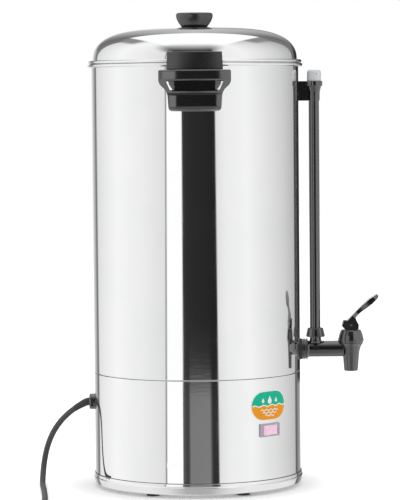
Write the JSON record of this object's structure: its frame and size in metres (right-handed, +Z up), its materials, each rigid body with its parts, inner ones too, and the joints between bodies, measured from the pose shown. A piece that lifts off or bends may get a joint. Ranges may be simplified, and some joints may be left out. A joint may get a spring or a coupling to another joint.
{
  "type": "hot water urn",
  "caption": "Tall polished steel hot water urn with a heated base, loose domed lid with knob, side handles, lever tap, sight gauge and mains lead.",
  "frame": {"origin": "the urn's axis at floor level, between the feet", "axes": "+Z up, +X along the tap, -X towards the mains lead, -Y towards the front handle"},
  "size_m": [0.4138, 0.548, 0.5724],
  "materials": {
    "polished_steel": "mirror polished",
    "satin_steel": "satin",
    "aluminium": "cast",
    "element": "oxidised",
    "brass": "plain",
    "white_ceramic": "glazed",
    "black_plastic": "smooth moulded",
    "rubber": "matt",
    "lead_rubber": "satin",
    "silicone": "milky",
    "gauge_glass": "clear",
    "clear_plastic": "clear moulded",
    "switch_grey": "smooth",
    "rocker_pink": "translucent"
  },
  "bodies": {
    "urn": {"base_plate": "satin_steel", "base_shell": "polished_steel", "tank_shell": "polished_steel", "heat_plate": "aluminium", "heating_element": "element", "thermostat": "black_plastic", "thermal_cutout": "brass", "terminal_block": "white_ceramic", "centre_stud": "satin_steel", "centre_nut": "satin_steel", "handle_front": "black_plastic", "handle_rear": "black_plastic", "tap_body": "black_plastic", "tap_gasket": "rubber", "tap_inner_seal": "rubber", "tap_nut": "satin_steel", "tap_bonnet": "black_plastic", "tap_spring": "satin_steel", "gauge_nut": "black_plastic", "gauge_seal": "rubber", "gauge_glass": "gauge_glass", "gauge_guard": "black_plastic", "gauge_bracket": "black_plastic", "gauge_cap": "clear_plastic", "bracket_screw": "satin_steel", "switch_housing": "switch_grey", "cord_gland": "black_plastic", "gland_nut": "black_plastic", "cord_lead": "lead_rubber", "cord_coil": "lead_rubber", "cord_tail": "lead_rubber", "plug": "lead_rubber", "foot_1": "rubber", "foot_2": "rubber", "foot_3": "rubber", "foot_4": "rubber", "foot_5": "rubber", "foot_6": "rubber", "handle_screw_1": "satin_steel", "handle_screw_2": "satin_steel", "handle_screw_3": "satin_steel", "handle_screw_4": "satin_steel"},
    "lid": {"lid_shell": "polished_steel", "lid_ring": "polished_steel", "lid_lug_front": "black_plastic", "lid_lug_rear": "black_plastic", "lug_screw_1": "satin_steel", "lug_screw_2": "satin_steel", "lug_screw_3": "satin_steel", "lug_screw_4": "satin_steel", "knob_washer": "black_plastic", "knob": "black_plastic", "knob_screw": "satin_steel"},
    "stem": {"tap_stem": "satin_steel", "tap_seat_cup": "silicone"},
    "lever": {"tap_lever": "black_plastic", "lever_pin": "satin_steel"},
    "rocker": {"switch_rocker": "rocker_pink"}
  },
  "joints": [
    {"name": "lid_lift", "type": "slide", "parent": "urn", "child": "lid", "axis": [0, 0, 1], "range_m": [0, 0.15]},
    {"name": "stem_lift", "type": "slide", "parent": "urn", "child": "stem", "axis": [0, 0, 1], "range_m": [0, 0.00293], "deforming": ["tap_spring"]},
    {"name": "lever_press", "type": "hinge", "parent": "stem", "child": "lever", "pos_m": [0.187, 0, 0.193], "axis": [0, 1, 0], "range_deg": [0, 36], "stiffness_Nm_per_rad": 0.05, "springref_deg": -17.19},
    {"name": "rocker_tilt", "type": "hinge", "parent": "urn", "child": "rocker", "pos_m": [0.08354, -0.08959, 0.077], "axis": [0, 0, 1], "range_deg": [-16, 0]}
  ],
  "couplings": [
    {"joint": "lever_press", "follows": "stem_lift", "rad_per_m": 208.33}
  ]
}
